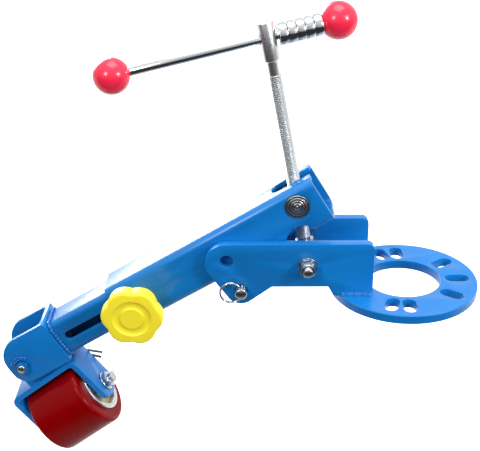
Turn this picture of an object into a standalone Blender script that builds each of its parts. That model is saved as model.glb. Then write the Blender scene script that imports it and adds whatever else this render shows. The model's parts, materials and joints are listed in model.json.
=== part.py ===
"""Wheel-arch rolling tool: hub plate, hinged telescopic arm, lead screw and tilting roller head."""
from math import atan2, cos, pi, radians, sin, sqrt

import bmesh
import bpy
from mathutils import Matrix, Vector

MM = 0.001

# Hub plate: a round plate bolted to a wheel hub. Its underside centre is the origin.
FLANGE_R = 80.0
FLANGE_T = 10.0
BORE_R = 40.5
SLOT_W = 14.5
SLOT_IN = 45.5
SLOT_OUT = 72.0
SLOT_ANGLES = (0, 90, 180, 270, 36, 108, -36, -108)

# Side plates that carry the arm.
PLATE_OUT = 36.0
PLATE_T = 10.0
PLATE_TOP = 70.0
PLATE_RIGHT = -36.8
WELD_R = 4.0

# Pivots in the X-Z plane: P arm pivot pin, S spare pin hole, L foot of the lead screw.
PX, PZ = -176.1, 16.3
SX, SZ = -191.2, 50.4
LX, LZ = -106.0, 45.0
PIN_HOLE_R = 7.0
PIN_R = 6.25
M10_R = 5.0
M10_HOLE_R = 5.4

# Arm, in its own frame: x along the arm to the rear, z square to it, origin at P.
ARM_SLOPE = radians(30.8)
ARM_W = 50.0
ARM_LOW, ARM_HIGH = 14.0, 68.0
ARM_FRONT, ARM_REAR = -132.5, 123.5
ARM_WALL = 4.5
ARM_CORNER = 9.0
SCREW_SLOT_W = 17.0
SCREW_SLOT_X = 78.0
NOTCH_X, NOTCH_Z, NOTCH_R = 83.5, 10.5, 18.5
TRUNNION_X, TRUNNION_Z = 97.5, 48.5
TRUNNION_R = 13.2
LUG_R = 15.0

# Inner arm that telescopes in the outer one.
INNER_W = 40.2
INNER_LOW, INNER_HIGH = 18.9, 63.1
INNER_FRONT, INNER_REAR = -213.0, 2.0
INNER_WALL = 4.0
INNER_CORNER = 7.0
INNER_SLOT_W = 10.5
INNER_SLOT = (-203.0, -22.0)
SLOT_Z = 41.0

# Clamp knob on the near side of the outer arm.
KNOB_X = -109.2
KNOB_R = 33.0
KNOB_FACE = 61.0
KNOB_RIM = 16.5
KNOB_LOBE = 3.2
STUD_R = 5.0

# Clevis at the front end of the inner arm, and the pivot of the roller yoke.
EAR_OUT = 24.0
EAR_T = 5.5
EAR_LOW, EAR_HIGH = 14.4, 69.5
EAR_FRONT = -281.0
HX, HZ = -265.5, 36.0

# Roller yoke, in its own frame: x along the roller, origin at the yoke pivot.
YOKE_DROOP = radians(6.2)
YOKE_W = 44.0
YOKE_T = 6.0
YOKE_LEN = 93.0
ROLLER_R = 44.3
ROLLER_LEN = 71.0
YOKE_CLEAR = 3.6
HUB_R = 30.4
HUB_PROUD = 3.4
TYRE_EDGE = 4.8
AXLE_R = 6.0

# Lead screw, in its own frame: z up the screw, origin at L.
SCREW_R = 7.0
SCREW_NECK = 199.0
HEAD_FROM, HEAD_TO = 214.8, 254.5
HEAD_R = 8.7
BAR_Z = 238.0
BAR_YAW = radians(12.8)
BAR_R = 4.8
BAR_LEFT, BAR_RIGHT = -156.5, 73.0
BALL_LEFT_R, BALL_RIGHT_R = 18.0, 19.0
SPACER_R = 11.6
SPACER_W = 8.7

BLUE = (0.02, 0.13, 0.50)
STEEL = (0.62, 0.62, 0.60)
ZINC = (0.72, 0.73, 0.74)
RED = (0.62, 0.02, 0.06)
YELLOW = (0.90, 0.72, 0.03)
MAROON = (0.25, 0.0, 0.01)

for old in list(bpy.data.objects):
    bpy.data.objects.remove(old, do_unlink=True)
for old in list(bpy.data.collections):
    bpy.data.collections.remove(old)

PARTS = bpy.data.collections.new("wheel_arch_roller")
bpy.context.scene.collection.children.link(PARTS)
CUTTERS = bpy.data.collections.new("cutters")
bpy.context.scene.collection.children.link(CUTTERS)


def material(name, color, metallic, rough):
    mat = bpy.data.materials.new(name)
    mat.use_nodes = True
    shader = mat.node_tree.nodes["Principled BSDF"]
    shader.inputs["Base Color"].default_value = (*color, 1.0)
    shader.inputs["Metallic"].default_value = metallic
    shader.inputs["Roughness"].default_value = rough
    return mat


def solid_from(bm, name):
    """A mesh object in metres from a bmesh drawn in millimetres."""
    bmesh.ops.remove_doubles(bm, verts=bm.verts, dist=0.0005)
    bmesh.ops.recalc_face_normals(bm, faces=bm.faces)
    bmesh.ops.scale(bm, vec=(MM, MM, MM), verts=bm.verts)
    mesh = bpy.data.meshes.new(name)
    bm.to_mesh(mesh)
    bm.free()
    return bpy.data.objects.new(name, mesh)


def prism(name, outline, low, high, axis="Y"):
    """A flat outline swept along Y (outline in x, z), Z (x, y) or X (y, z)."""
    bm = bmesh.new()
    at = {
        "Y": lambda u, v, w: (u, w, v),
        "Z": lambda u, v, w: (u, v, w),
        "X": lambda u, v, w: (w, u, v),
    }[axis]
    base = [bm.verts.new(at(u, v, low)) for u, v in outline]
    face = bm.faces.new(base)
    made = bmesh.ops.extrude_face_region(bm, geom=[face])
    shift = Vector(at(0.0, 0.0, high - low))
    for item in made["geom"]:
        if isinstance(item, bmesh.types.BMVert):
            item.co += shift
    return solid_from(bm, name)


def lathe(name, profile, axis="Z", centre=(0.0, 0.0, 0.0), steps=48, ring=False):
    """Radius and height pairs spun about an axis through a centre."""
    bm = bmesh.new()
    verts = [bm.verts.new((r, 0.0, h)) for r, h in profile]
    count = len(verts) if ring else len(verts) - 1
    edges = [bm.edges.new((verts[i], verts[(i + 1) % len(verts)])) for i in range(count)]
    bmesh.ops.spin(
        bm,
        geom=verts + edges,
        cent=(0, 0, 0),
        axis=(0, 0, 1),
        angle=2 * pi,
        steps=steps,
        use_merge=True,
    )
    bmesh.ops.remove_doubles(bm, verts=bm.verts, dist=0.0005)
    bmesh.ops.dissolve_degenerate(bm, dist=0.0005, edges=bm.edges)
    turn = {
        "Z": Matrix.Identity(4),
        "Y": Matrix.Rotation(-pi / 2, 4, "X"),
        "X": Matrix.Rotation(pi / 2, 4, "Y"),
    }[axis]
    bmesh.ops.transform(bm, matrix=Matrix.Translation(centre) @ turn, verts=bm.verts)
    return solid_from(bm, name)


def rod(name, radius, low, high, axis="Y", centre=(0.0, 0.0, 0.0), steps=48, chamfer=0.0):
    """A round bar closed at both ends."""
    if chamfer:
        profile = [(0, low), (radius - chamfer, low), (radius, low + chamfer)]
        profile += [(radius, high - chamfer), (radius - chamfer, high), (0, high)]
    else:
        profile = [(0, low), (radius, low), (radius, high), (0, high)]
    return lathe(name, profile, axis, centre, steps)


def tube(name, outer, inner, low, high, axis="Y", centre=(0.0, 0.0, 0.0), steps=28):
    """A plain ring."""
    profile = [(inner, low), (outer, low), (outer, high), (inner, high)]
    return lathe(name, profile, axis, centre, steps, ring=True)


def arc(cx, cy, radius, start, end, steps):
    """Points on an arc, angles in degrees."""
    points = []
    for i in range(steps + 1):
        a = radians(start + (end - start) * i / steps)
        points.append((cx + radius * cos(a), cy + radius * sin(a)))
    return points


def round_box(x0, x1, z0, z1, radii, steps=6):
    """A rectangle with four corner radii, from the lower left and anticlockwise."""
    a, b, c, d = radii
    points = arc(x0 + a, z0 + a, a, 180, 270, steps)
    points += arc(x1 - b, z0 + b, b, 270, 360, steps)
    points += arc(x1 - c, z1 - c, c, 0, 90, steps)
    points += arc(x0 + d, z1 - d, d, 90, 180, steps)
    return points


def slot_outline(x0, x1, z, width, steps=10):
    """A slot along x with round ends."""
    r = width / 2
    return arc(x1 - r, z, r, -90, 90, steps) + arc(x0 + r, z, r, 90, 270, steps)


def hexagon(x, z, flats, turn=0.0):
    r = flats / sqrt(3)
    return [(x + r * cos(radians(60 * i + turn)), z + r * sin(radians(60 * i + turn))) for i in range(6)]


def combine(body, tools, operation):
    """Cut the tools out of the body, or weld them to it."""
    PARTS.objects.link(body)
    for tool in tools:
        CUTTERS.objects.link(tool)
        tool.hide_render = True
        tool.display_type = "WIRE"
        step = body.modifiers.new(tool.name, "BOOLEAN")
        step.operation = operation
        step.solver = "EXACT"
        step.object = tool
    bpy.context.view_layer.update()
    graph = bpy.context.evaluated_depsgraph_get()
    mesh = bpy.data.meshes.new_from_object(body.evaluated_get(graph))
    body.modifiers.clear()
    body.data = mesh
    for tool in tools:
        bpy.data.objects.remove(tool, do_unlink=True)
    bm = bmesh.new()
    bm.from_mesh(mesh)
    bmesh.ops.remove_doubles(bm, verts=bm.verts, dist=0.000001)
    bm.to_mesh(mesh)
    bm.free()
    PARTS.objects.unlink(body)
    return body


def cut(body, *tools):
    return combine(body, tools, "DIFFERENCE")


def weld(body, *tools):
    return combine(body, tools, "UNION")


def finish(obj, mat, frame):
    """Name the data, give the material, and seat the piece in its frame."""
    obj.data.name = obj.name
    obj.data.materials.clear()
    obj.data.materials.append(mat)
    for poly in obj.data.polygons:
        poly.use_smooth = True
    obj.data.set_sharp_from_angle(angle=radians(32))
    origin, slope = frame
    obj.location = Vector(origin) * MM
    obj.rotation_euler = (0.0, -slope, 0.0)
    PARTS.objects.link(obj)
    return obj


def arm_point(x, z):
    """A point of the arm's frame, in the world."""
    return (
        PX + x * cos(ARM_SLOPE) - z * sin(ARM_SLOPE),
        0.0,
        PZ + x * sin(ARM_SLOPE) + z * cos(ARM_SLOPE),
    )


# The lead screw runs from L to the middle of the trunnion nut.
nut_at = arm_point(TRUNNION_X, TRUNNION_Z)
SCREW_LEAN = atan2(LX - nut_at[0], nut_at[2] - LZ)

WORLD = ((0.0, 0.0, 0.0), 0.0)
ARM = ((PX, 0.0, PZ), ARM_SLOPE)
SCREW = ((LX, 0.0, LZ), SCREW_LEAN)
YOKE_SLOPE = ARM_SLOPE + YOKE_DROOP
HINGE = (arm_point(HX, HZ), YOKE_SLOPE)
TRUNNION = (nut_at, SCREW_LEAN)
KNOB = (arm_point(KNOB_X, SLOT_Z), ARM_SLOPE)
BASE_PIVOT = ((PX, 0.0, PZ), 0.0)
FOOT = ((LX, 0.0, LZ), 0.0)

# ---------------------------------------------------------------- base
flange = rod("mounting_base", FLANGE_R, 0.0, FLANGE_T, "Z", steps=80, chamfer=0.8)
holes = [rod("bore", BORE_R, -2, FLANGE_T + 2, "Z", steps=60)]
for angle in SLOT_ANGLES:
    outline = slot_outline(SLOT_IN, SLOT_OUT, 0.0, SLOT_W, 7)
    a = radians(angle)
    turned = [(x * cos(a) - y * sin(a), x * sin(a) + y * cos(a)) for x, y in outline]
    holes.append(prism("slot", turned, -2, FLANGE_T + 2, "Z"))
flange = cut(flange, *holes)

side = arc(PLATE_RIGHT - 7, PLATE_TOP - 7, 7, 0, 90, 5)
side += arc(SX, PLATE_TOP - 22.6, 22.6, 90, 208, 14)
side += arc(PX, PZ, 16.6, 208, 302, 12)
side += [(-143.5, 20.0), (-84.0, 20.0), (-77.5, 9.0), (PLATE_RIGHT, 9.0)]


def side_plate(name, low, high):
    plate = prism(name, side, low, high)
    bores = [rod("b", PIN_HOLE_R, low - 2, high + 2, "Y", (PX, 0, PZ), 28)]
    bores.append(rod("b", PIN_HOLE_R, low - 2, high + 2, "Y", (SX, 0, SZ), 28))
    bores.append(rod("b", M10_HOLE_R, low - 2, high + 2, "Y", (LX, 0, LZ), 24))
    return cut(plate, *bores)


near = side_plate("near", -PLATE_OUT, -PLATE_OUT + PLATE_T)
far = side_plate("far", PLATE_OUT - PLATE_T, PLATE_OUT)
beads = []
for y in (-PLATE_OUT, -PLATE_OUT + PLATE_T, PLATE_OUT - PLATE_T, PLATE_OUT):
    reach = sqrt((FLANGE_R - 2.0) ** 2 - y * y)
    start = max(-76.0, -reach)
    beads.append(rod("bead", WELD_R, start, PLATE_RIGHT - 1.0, "X", (0, y + 0.13, FLANGE_T - 0.31), 11))
base = weld(flange, near, far)
base = weld(base, *beads)
blue = material("blue_paint", BLUE, 0.0, 0.35)
finish(base, blue, WORLD)

# ---------------------------------------------------------------- arm pivot pin and ring
pin = rod("quick_release_pin", PIN_R, -46.5, 44.0, "Y", steps=40, chamfer=1.0)
pin = cut(pin, rod("hole", 2.6, -9, 9, "Z", (0, -42.0, 0), 20))
steel = material("pin_steel", STEEL, 1.0, 0.3)
finish(pin, steel, BASE_PIVOT)

bm = bmesh.new()
RING_R, RING_WIRE = 11.5, 1.2
circle = bmesh.ops.create_circle(bm, segments=8, radius=RING_WIRE)
bmesh.ops.translate(bm, vec=(RING_R, 0, 0), verts=circle["verts"])
bmesh.ops.spin(
    bm,
    geom=list(bm.verts) + list(bm.edges),
    cent=(0, 0, 0),
    axis=(0, 1, 0),
    angle=2 * pi,
    steps=36,
    use_merge=True,
)
bmesh.ops.translate(bm, vec=(-RING_R + 0.85, 0, 0), verts=bm.verts)
ring = solid_from(bm, "pull_ring")
finish(ring, material("ring_wire", ZINC, 1.0, 0.25), ((PX, -42.0, PZ), 0.0))

# ---------------------------------------------------------------- foot of the lead screw
block = prism("swivel_block", round_box(-12, 12, -12, 11.5, (4, 4, 4, 4), 4), -25.0, 25.0)
block = cut(
    block,
    rod("b", M10_HOLE_R, -30, 30, "Y", steps=32),
    rod("s", 5.6, 6.2, 20, "Z", steps=32),
)
finish(block, material("block_steel", STEEL, 1.0, 0.35), SCREW)

profile = [(0, -53.5), (4.2, -53.5), (M10_R, -52.7), (M10_R, 37.9), (M10_R, 39.0), (0, 39.0)]
bolt = lathe("swivel_bolt", profile, "Y", steps=32)
bolt = weld(bolt, prism("head", hexagon(0, 0, 17.0, 30), 38.5, 45.0))
finish(bolt, material("bolt_steel", STEEL, 1.0, 0.3), FOOT)

washer = tube("swivel_washer_near", 10.0, 5.35, -38.3, -36.35)
finish(washer, material("washer_near", ZINC, 1.0, 0.25), FOOT)
washer = tube("swivel_washer_far", 10.0, 5.35, 36.3, 38.1)
finish(washer, material("washer_far", ZINC, 1.0, 0.25), FOOT)
nut = prism("swivel_lock_nut", hexagon(0, 0, 17.0, 12), -45.2, -38.7)
nut = weld(nut, rod("collar", 7.6, -48.6, -44.0, "Y", steps=32, chamfer=1.2))
nut = cut(nut, rod("b", 5.35, -60, -30, "Y", steps=32))
finish(nut, material("nut_zinc", ZINC, 1.0, 0.3), FOOT)

# ---------------------------------------------------------------- outer arm
def box_tube(name, x0, x1, low, high, width, wall, corner, steps=6):
    half = width / 2
    outer = round_box(-half, half, low, high, (corner,) * 4, steps)
    inner_corner = max(corner - wall, 1.0)
    shell = prism(name, outer, x0, x1, "X")
    hollow = round_box(-half + wall, half - wall, low + wall, high - wall, (inner_corner,) * 4, steps)
    return cut(shell, prism("hollow", hollow, x0 - 5, x1 + 5, "X"))


arm = box_tube("arm_outer", ARM_FRONT, ARM_REAR, ARM_LOW, ARM_HIGH, ARM_W, ARM_WALL, ARM_CORNER)
lug = arc(0, 0, LUG_R, 180, 360, 18) + [(24.0, ARM_LOW + 1.5), (-24.0, ARM_LOW + 1.5)]
arm = weld(arm, prism("lug", lug, -20.0, -12.0), prism("lug", lug, 12.0, 20.0))
slot = arc(SCREW_SLOT_X + SCREW_SLOT_W / 2, 0, SCREW_SLOT_W / 2, 90, 270, 12)
slot += [(ARM_REAR + 5, -SCREW_SLOT_W / 2), (ARM_REAR + 5, SCREW_SLOT_W / 2)]
arm = cut(
    arm,
    rod("pin", 6.7, -30, 30, "Y", steps=40),
    rod("trunnion", TRUNNION_R + 0.35, -30, 30, "Y", (TRUNNION_X, 0, TRUNNION_Z), 48),
    rod("notch", NOTCH_R, -30, 30, "Y", (NOTCH_X, 0, NOTCH_Z), 48),
    prism("slot", slot, ARM_HIGH - 12, ARM_HIGH + 5, "Z"),
    rod("stud", 5.4, -30, 0, "Y", (KNOB_X, 0, SLOT_Z), 32),
)
finish(arm, material("arm_paint", BLUE, 0.0, 0.3), ARM)

barrel = rod("trunnion_nut", TRUNNION_R, -25.6, 25.6, "Y", steps=48, chamfer=0.8)
gap = slot_outline(-10.6, 10.6, 0.0, 15.2, 10)
barrel = cut(barrel, prism("bore", gap, -20, 20, "Z"))
finish(barrel, material("trunnion_steel", STEEL, 1.0, 0.4), TRUNNION)

# ---------------------------------------------------------------- inner arm and clamp
inner = box_tube(
    "arm_inner", INNER_FRONT, INNER_REAR, INNER_LOW, INNER_HIGH, INNER_W, INNER_WALL, INNER_CORNER, 5
)
groove = slot_outline(INNER_SLOT[0], INNER_SLOT[1], SLOT_Z, INNER_SLOT_W, 10)
inner = cut(inner, prism("groove", groove, -30, 0))
finish(inner, material("inner_paint", BLUE, 0.0, 0.3), ARM)

plate = prism("clamp_plate", round_box(-16, 16, -9.5, 9.5, (2,) * 4, 3), -15.6, -9.6)
plate = cut(plate, rod("b", 5.35, -30, 0, "Y", steps=32))
finish(plate, material("plate_steel", STEEL, 1.0, 0.4), KNOB)

stud = rod("clamp_stud", STUD_R, -52.0, -6.5, "Y", steps=32, chamfer=0.8)
finish(stud, material("stud_steel", STEEL, 1.0, 0.3), KNOB)

LOBES = 6
KNOB_STEPS = 72
rim = []
for i in range(KNOB_STEPS):
    a = 2 * pi * i / KNOB_STEPS
    wave = (1 + cos(LOBES * (a - radians(26.2)))) / 2
    reach = KNOB_R - KNOB_LOBE + KNOB_LOBE * wave ** 0.55
    rim.append((reach * cos(a), reach * sin(a)))
knob = bmesh.new()
levels = (
    (-KNOB_FACE + KNOB_RIM, 0.965),
    (-KNOB_FACE + KNOB_RIM - 2.5, 1.0),
    (-KNOB_FACE + 3.0, 1.0),
    (-KNOB_FACE + 0.8, 0.965),
    (-KNOB_FACE, 0.91),
)
rows = [[knob.verts.new((x * k, y, z * k)) for x, z in rim] for y, k in levels]
for low_row, high_row in zip(rows, rows[1:]):
    for i in range(KNOB_STEPS):
        j = (i + 1) % KNOB_STEPS
        knob.faces.new((low_row[i], low_row[j], high_row[j], high_row[i]))
knob.faces.new(rows[0])
knob.faces.new(rows[-1])
knob = solid_from(knob, "clamp_knob")
knob = weld(knob, rod("hub", 16.0, -KNOB_FACE + 8, -25.7, "Y", steps=40, chamfer=1.5))
recess = [(11.8, -KNOB_FACE - 2), (20.6, -KNOB_FACE - 2), (19.4, -KNOB_FACE + 1.8), (12.6, -KNOB_FACE + 1.8)]
knob = cut(
    knob,
    rod("b", 5.35, -54.0, -20, "Y", steps=32),
    lathe("recess", recess, "Y", steps=40, ring=True),
)
finish(knob, material("yellow_plastic", YELLOW, 0.0, 0.35), KNOB)

# ---------------------------------------------------------------- clevis
ear = round_box(EAR_FRONT, INNER_FRONT - 0.35, EAR_LOW, EAR_HIGH, (17.0, 3.0, 3.0, 27.0), 7)
clevis = prism("clevis_bracket", ear, -EAR_OUT, EAR_OUT)
inside = [(EAR_FRONT - 5, -EAR_OUT + EAR_T)]
inside += arc(INNER_FRONT - 6.0 - 5, -EAR_OUT + EAR_T + 5, 5, -90, 0, 5)
inside += arc(INNER_FRONT - 6.0 - 5, EAR_OUT - EAR_T - 5, 5, 0, 90, 5)
inside += [(EAR_FRONT - 5, EAR_OUT - EAR_T)]
clevis = cut(
    clevis,
    prism("inside", inside, 0, 90, "Z"),
    rod("pin", M10_HOLE_R, -40, 40, "Y", (HX, 0, HZ), 32),
)
finish(clevis, material("clevis_paint", BLUE, 0.0, 0.35), ARM)

half = INNER_W / 2 + 0.35
hole = round_box(-half, half, INNER_LOW - 0.35, INNER_HIGH + 0.35, (INNER_CORNER,) * 4, 5)
bm = bmesh.new()
centre = (INNER_LOW + INNER_HIGH) / 2
x_back, x_front = INNER_FRONT, INNER_FRONT + 4.6


def grown(points, by):
    out = []
    for y, z in points:
        out.append((y * (1 + by / half), centre + (z - centre) * (1 + by / (INNER_HIGH - centre))))
    return out


loops = []
for x, by in ((x_back, 0.0), (x_back, 2.6), (x_back + 1.6, 2.2), (x_front - 1.2, 0.9), (x_front, 0.0)):
    loops.append([bm.verts.new((x, y, z)) for y, z in grown(hole, by)])
loops.append(loops[0])
for a, b in zip(loops, loops[1:]):
    for i in range(len(a)):
        j = (i + 1) % len(a)
        bm.faces.new((a[i], a[j], b[j], b[i]))
bead = solid_from(bm, "clevis_weld")
finish(bead, material("weld_paint", BLUE, 0.0, 0.45), ARM)

# ---------------------------------------------------------------- yoke
# Yoke frame: the roller axis is AXLE_Z below the pivot; the right roller end sits at ROLLER_X1.
right = arm_point(-221.6, -41.3)
pivot = arm_point(HX, HZ)
dx, dz = right[0] - pivot[0], right[2] - pivot[2]
ROLLER_X1 = dx * cos(YOKE_SLOPE) + dz * sin(YOKE_SLOPE) + 1.5
AXLE_Z = -dx * sin(YOKE_SLOPE) + dz * cos(YOKE_SLOPE)
ROLLER_X0 = ROLLER_X1 - ROLLER_LEN
MID_X = (ROLLER_X0 + ROLLER_X1) / 2
Y0 = MID_X - YOKE_LEN / 2
Y1 = MID_X + YOKE_LEN / 2
WEB_LOW = AXLE_Z + ROLLER_R + YOKE_CLEAR
WEB_TOP = WEB_LOW + YOKE_T
LEG_END = AXLE_Z - 15.5

shape = [(Y0, LEG_END), (Y0 + YOKE_T, LEG_END)]
shape += arc(Y0 + YOKE_T + 4, WEB_LOW - 4, 4, 180, 90, 5)
shape += arc(Y1 - YOKE_T - 4, WEB_LOW - 4, 4, 90, 0, 5)
shape += [(Y1 - YOKE_T, LEG_END), (Y1, LEG_END)]
shape += arc(Y1 - 9, WEB_TOP - 9, 9, 0, 90, 7)
shape += arc(Y0 + 9, WEB_TOP - 9, 9, 90, 180, 7)
yoke = prism("roller_yoke", shape, -YOKE_W / 2, YOKE_W / 2)
corner_cut = []
for sign in (-1, 1):
    edge = [(sign * 60, LEG_END - 10), (0.0, LEG_END - 10), (0.0, LEG_END)]
    r = YOKE_W / 2
    curve = [(sign * r * sin(radians(t)), LEG_END + 13.0 * (1 - cos(radians(t)))) for t in range(0, 91, 10)]
    edge += curve[1:] + [(sign * 60, curve[-1][1])]
    corner_cut.append(prism("corner", edge, Y0 - 5, Y1 + 5, "X"))
yoke = cut(yoke, *corner_cut)
cheek = arc(0, 0, 14.0, 0, 180, 16) + [(-16.0, WEB_TOP - 1.5), (22.0, WEB_TOP - 1.5)]
yoke = weld(yoke, prism("cheek", cheek, -17.6, -9.6), prism("cheek", cheek, 9.6, 17.6))
yoke = cut(
    yoke,
    rod("pin", M10_HOLE_R, -40, 40, "Y", steps=32),
    rod("axle", AXLE_R + 0.4, Y0 - 5, Y1 + 5, "X", (0, 0, AXLE_Z), 32),
)
finish(yoke, material("yoke_paint", BLUE, 0.0, 0.35), HINGE)

pivot_bolt = rod("yoke_pivot_bolt", M10_R, -31.2, 24.6, "Y", steps=32, chamfer=0.8)
pivot_bolt = weld(pivot_bolt, prism("head", hexagon(0, 0, 16.0, 0), 24.4, 31.0))
finish(pivot_bolt, material("pivot_steel", STEEL, 1.0, 0.3), (HINGE[0], ARM_SLOPE))
pivot_nut = prism("yoke_pivot_nut", hexagon(0, 0, 14.4, 10), -30.2, -24.35)
pivot_nut = cut(pivot_nut, rod("b", 5.35, -60, -20, "Y", steps=32))
finish(pivot_nut, material("nut_paint", BLUE, 0.0, 0.4), (HINGE[0], ARM_SLOPE))

# ---------------------------------------------------------------- roller
AXLE_ORIGIN = (
    pivot[0] + MID_X * cos(YOKE_SLOPE) - AXLE_Z * sin(YOKE_SLOPE),
    0.0,
    pivot[2] + MID_X * sin(YOKE_SLOPE) + AXLE_Z * cos(YOKE_SLOPE),
)
ROLLER = (AXLE_ORIGIN, YOKE_SLOPE)
hl = ROLLER_LEN / 2
edge = TYRE_EDGE
tyre = [(HUB_R + 0.15, -hl + 0.6), (ROLLER_R - edge - 0.5, -hl)]
for t in (30, 60, 90):
    tyre.append((ROLLER_R - edge + edge * sin(radians(t)), -hl + edge - edge * cos(radians(t))))
for t in (0, 30, 60):
    tyre.append((ROLLER_R - edge + edge * cos(radians(t)), hl - edge + edge * sin(radians(t))))
tyre += [(ROLLER_R - edge - 0.5, hl), (HUB_R + 0.15, hl - 0.6)]
tread = lathe("roller_tyre", tyre, "X", steps=48, ring=True)
finish(tread, material("maroon_polyurethane", MAROON, 0.0, 0.25), ROLLER)

seat = 8.0
face = hl + HUB_PROUD
half_hub = [(HUB_R - 0.2, face - 1.0), (HUB_R - 1.2, face), (25.5, face), (24.0, face - 1.5), (24.0, hl - 3.0)]
half_hub += [(18.4, hl - 3.0), (18.4, hl - 3.0 - seat), (10.0, hl - 3.0 - seat)]
hub = half_hub + [(r, -h) for r, h in reversed(half_hub)]
core = lathe("roller_hub", hub, "X", steps=40, ring=True)
finish(core, material("hub_aluminium", ZINC, 1.0, 0.3), ROLLER)

for name, low in (("bearing_left", -hl + 3.35), ("bearing_right", hl - 3.35 - 7.3)):
    high = low + 7.3
    ring_profile = [(AXLE_R + 0.35, low), (AXLE_R + 3.4, low), (AXLE_R + 3.4, low + 0.7), (14.6, low + 0.7)]
    ring_profile += [(14.6, low), (18.05, low), (18.05, high), (AXLE_R + 0.35, high)]
    bearing = lathe(name, ring_profile, "X", steps=32, ring=True)
    finish(bearing, material(name + "_steel", STEEL, 1.0, 0.2), ROLLER)

yl = YOKE_LEN / 2
axle = rod("roller_axle", AXLE_R, -yl - 0.5, yl + 11.4, "X", steps=36, chamfer=1.0)
axle = weld(axle, prism("head", hexagon(0, 0, 19.0, 30), -yl - 8.0, -yl - 0.35, "X"))
axle = cut(axle, rod("cotter_hole", 1.7, -12, 12, "Y", (yl + 8.9, 0, 0), 16))
finish(axle, material("axle_steel", STEEL, 1.0, 0.3), ROLLER)
washer = tube("axle_washer", 10.6, AXLE_R + 0.35, yl + 0.35, yl + 1.9, "X")
finish(washer, material("axle_washer_zinc", ZINC, 1.0, 0.25), ROLLER)
axle_nut = prism("axle_nut", hexagon(0, 0, 17.4, 20), yl + 2.25, yl + 7.0, "X")
axle_nut = cut(axle_nut, rod("b", AXLE_R + 0.35, yl - 5, yl + 20, "X", steps=36))
finish(axle_nut, material("axle_nut_zinc", ZINC, 1.0, 0.25), ROLLER)
for side_y, name in ((-1, "inner_left"), (1, "inner_right")):
    spacer_low = -hl - 4.55 if side_y < 0 else hl - 2.4
    sleeve = tube("axle_" + name + "_sleeve", 9.0, AXLE_R + 0.35, spacer_low, spacer_low + 6.95, "X", steps=24)
    finish(sleeve, material("sleeve_" + name, ZINC, 1.0, 0.35), ROLLER)


def wire(name, points, radius, sides=8):
    """A round wire along a path, in millimetres."""
    bm = bmesh.new()
    path = [Vector(p) for p in points]
    loops = []
    normal = None
    for i, p in enumerate(path):
        before = path[i - 1] if i else p
        after = path[i + 1] if i + 1 < len(path) else p
        tangent = (after - before).normalized()
        if normal is None:
            pick = Vector((0, 0, 1)) if abs(tangent.z) < 0.9 else Vector((0, 1, 0))
            normal = tangent.cross(pick).normalized()
        normal = (normal - tangent * normal.dot(tangent)).normalized()
        other = tangent.cross(normal)
        ring_verts = []
        for k in range(sides):
            t = 2 * pi * k / sides
            ring_verts.append(bm.verts.new(p + radius * (cos(t) * normal + sin(t) * other)))
        loops.append(ring_verts)
    for a, b in zip(loops, loops[1:]):
        for k in range(sides):
            m = (k + 1) % sides
            bm.faces.new((a[k], a[m], b[m], b[k]))
    bm.faces.new(loops[0])
    bm.faces.new(loops[-1])
    return solid_from(bm, name)


# Cotter pin through the axle, with its legs on the near side.
cx = yl + 8.9
cotter = [(cx, 10.0, 0), (cx, -8.0, 0), (cx + 0.6, -10.0, 0.6), (cx + 1.0, -12.0, 1.6)]
pin_wire = wire("axle_cotter", cotter, 1.2)
eye_section = [(4.4, 0.0), (3.6, 1.1), (2.5, 1.1), (1.7, 0.0), (2.5, -1.1), (3.6, -1.1)]
eye = lathe("eye", eye_section, "X", (cx, 11.8, 0), 16, ring=True)
pin_wire = weld(pin_wire, eye)
finish(pin_wire, material("cotter_wire", ZINC, 1.0, 0.3), ROLLER)

# Hairpin clip: the loop lies behind the far edge of the right leg and both prongs point rearward.
CLIP_Y = YOKE_W / 2 + 2.0
clip_path = [(58.4, CLIP_Y, -59.5), (36.4, CLIP_Y, -35.9), (34.8, CLIP_Y, -35.2), (33.4, CLIP_Y, -36.4)]
clip_path += [(33.6, CLIP_Y, -38.8), (36.0, CLIP_Y, -41.7), (52.9, CLIP_Y, -64.0)]
clip = wire("hairpin_clip", clip_path, 1.45)
finish(clip, material("clip_wire", STEEL, 1.0, 0.3), HINGE)

# ---------------------------------------------------------------- lead screw and handle
screw_profile = [(0, 6.6), (5.0, 6.6), (5.0, 14.9), (SCREW_R, 14.9), (SCREW_R, SCREW_NECK)]
screw_profile.append((6.2, SCREW_NECK + 1.0))
screw_profile += [(6.2, HEAD_FROM), (HEAD_R - 0.8, HEAD_FROM), (HEAD_R, HEAD_FROM + 0.8)]
screw_profile += [(HEAD_R, HEAD_TO - 0.8), (HEAD_R - 0.8, HEAD_TO), (0, HEAD_TO)]
screw = lathe("lead_screw", screw_profile, "Z", steps=32)
drill = rod("drill", BAR_R + 0.4, -30, 30, "X", (0, 0, 0), 32)
drill.data.transform(Matrix.Translation((0, 0, BAR_Z * MM)) @ Matrix.Rotation(BAR_YAW, 4, "Z"))
screw = cut(screw, drill)
finish(screw, material("screw_steel", ZINC, 1.0, 0.3), SCREW)
collar = tube("thrust_collar", 10.0, 5.35, 11.85, 14.55, "Z")
finish(collar, material("collar_steel", ZINC, 1.0, 0.2), SCREW)


def bar_piece(obj, mat):
    """Seat a piece drawn along x on the handle bar."""
    turn = Matrix.Rotation(BAR_YAW, 4, "Z")
    obj.data.transform(turn)
    head = (LX - BAR_Z * sin(SCREW_LEAN), 0.0, LZ + BAR_Z * cos(SCREW_LEAN))
    return finish(obj, mat, (head, SCREW_LEAN))


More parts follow.
